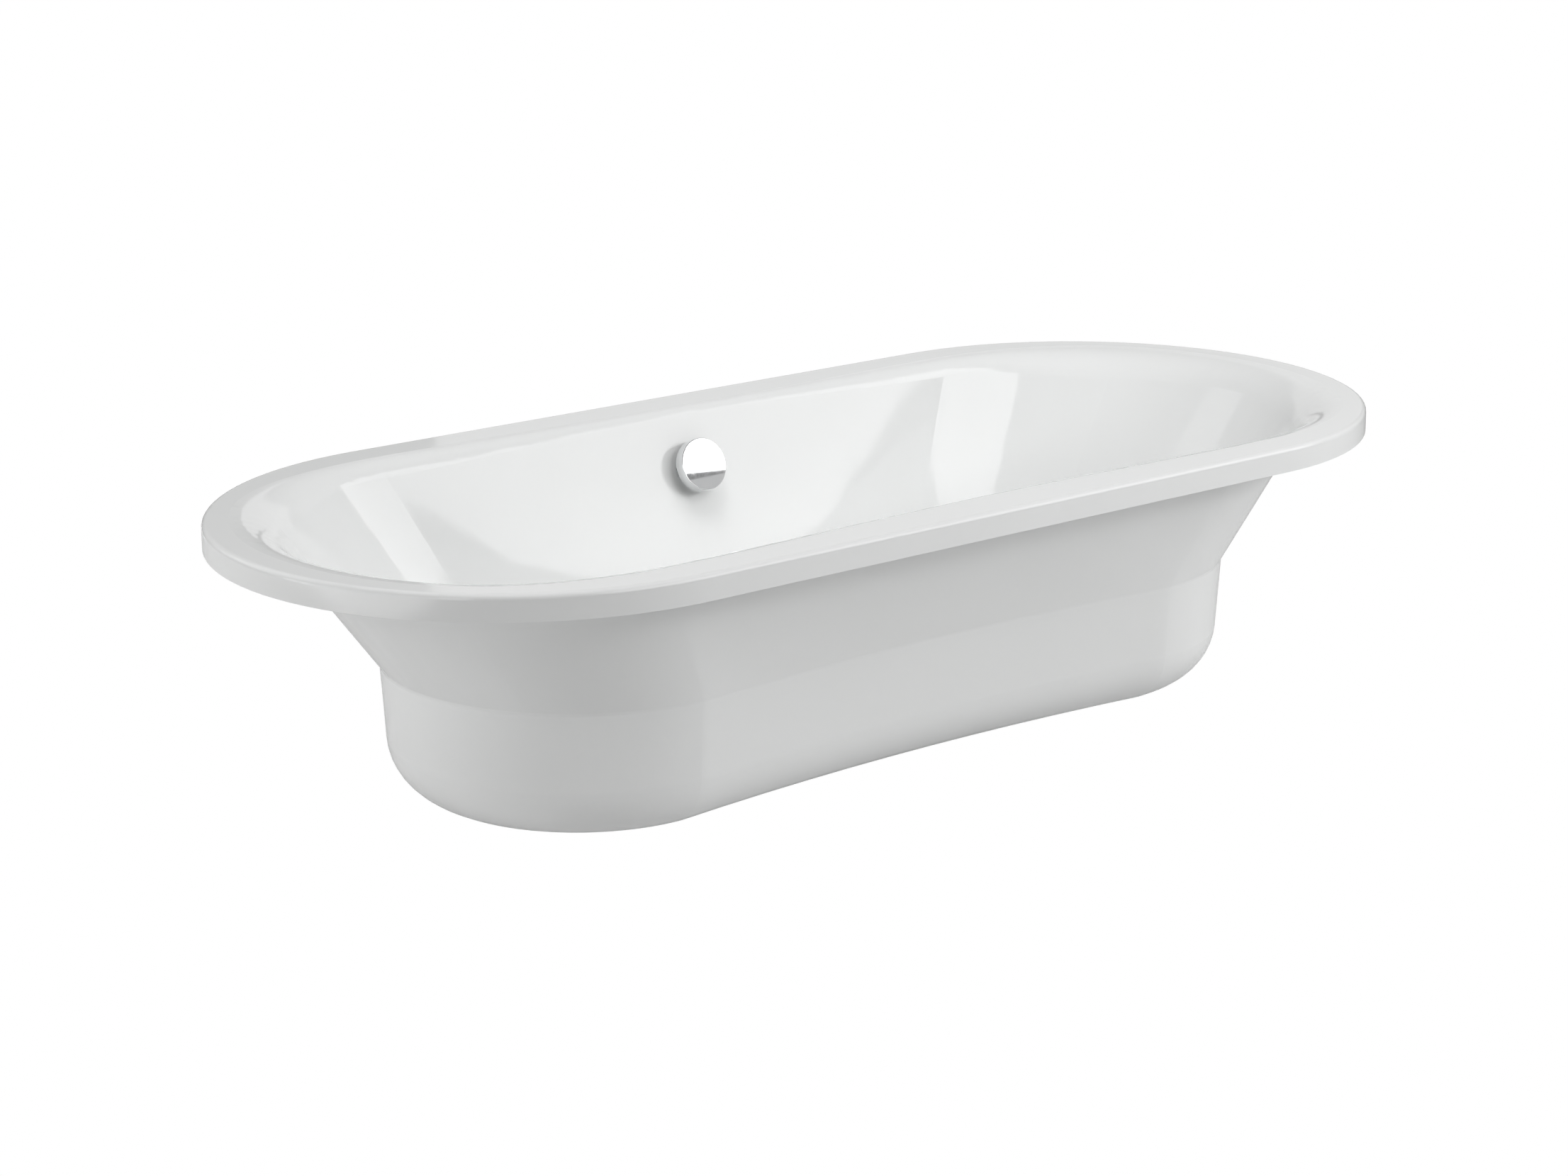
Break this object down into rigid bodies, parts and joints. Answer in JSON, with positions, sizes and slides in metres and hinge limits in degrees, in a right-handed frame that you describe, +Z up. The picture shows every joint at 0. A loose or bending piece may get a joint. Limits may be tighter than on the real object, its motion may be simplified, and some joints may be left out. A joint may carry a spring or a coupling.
{
  "type": "bathtub",
  "caption": "Built-in oval steel bathtub with a flat rim, flared upper walls over a creased basin, and a cable-operated waste turned by a round overflow cap.",
  "frame": {"origin": "centre of the plane on which the rim's skirt rests, which is the skirt's lower edge", "axes": "+X along the bath, +Y towards the long side with the overflow, +Z up out of the bath"},
  "size_m": [1.7996, 0.8, 0.492],
  "materials": {
    "enamel": "glossy white vitreous enamel on steel",
    "bitumen": "dull black bitumen felt",
    "bare_steel": "bare cut steel, slightly dull",
    "chrome": "bright chrome plate",
    "brass": "turned brass, dull",
    "fittings": "white moulded polypropylene",
    "pipe": "off-white extruded pipe",
    "drum": "black moulded acetal",
    "seal": "black rubber",
    "sheath": "black plastic sheath"
  },
  "bodies": {
    "tub": {"tub_shell": "enamel", "anti_drum_pads": "bitumen", "earth_lug": "bare_steel", "overflow_plate": "chrome", "overflow_screws": "bare_steel", "overflow_gasket": "seal", "overflow_elbow": "fittings", "drum_cover": "fittings", "overflow_pipe": "pipe", "shoe_pipe": "pipe", "pipe_nuts": "fittings", "pipe_seals": "seal", "waste_tee": "fittings", "drain_flange": "chrome", "drain_seal_upper": "seal", "drain_seal_lower": "seal", "drain_shoe": "fittings", "bowden_cable": "sheath", "cable_ferrules": "brass"},
    "knob": {"overflow_knob": "chrome", "overflow_spindle": "brass", "cable_drum": "drum"},
    "lever": {"lift_lever": "brass", "lever_shaft": "brass", "crank_arm": "brass"},
    "rod": {"pull_rod": "bare_steel"},
    "plug": {"plug_cap": "chrome", "plug_seal": "seal", "plug_stem": "brass"}
  },
  "joints": [
    {"name": "knob_turn", "type": "hinge", "parent": "tub", "child": "knob", "pos_m": [0, 0.29103, -0.048], "axis": [0, -0.9317, 0.3632], "range_deg": [0, 90]},
    {"name": "lever_turn", "type": "hinge", "parent": "tub", "child": "lever", "pos_m": [0, -0.017, -0.385], "axis": [1, 0, 0], "range_deg": [0, 27.17]},
    {"name": "rod_slide", "type": "slide", "parent": "tub", "child": "rod", "axis": [0, 1, 0], "range_m": [0, 0.01245]},
    {"name": "plug_lift", "type": "slide", "parent": "tub", "child": "plug", "axis": [0, 0, 1], "range_m": [0, 0.00799]}
  ],
  "couplings": [
    {"joint": "lever_turn", "follows": "knob_turn", "ratio": 0.30189},
    {"joint": "rod_slide", "follows": "knob_turn", "m_per_rad": 0.0079253},
    {"joint": "plug_lift", "follows": "knob_turn", "m_per_rad": 0.0050841}
  ]
}
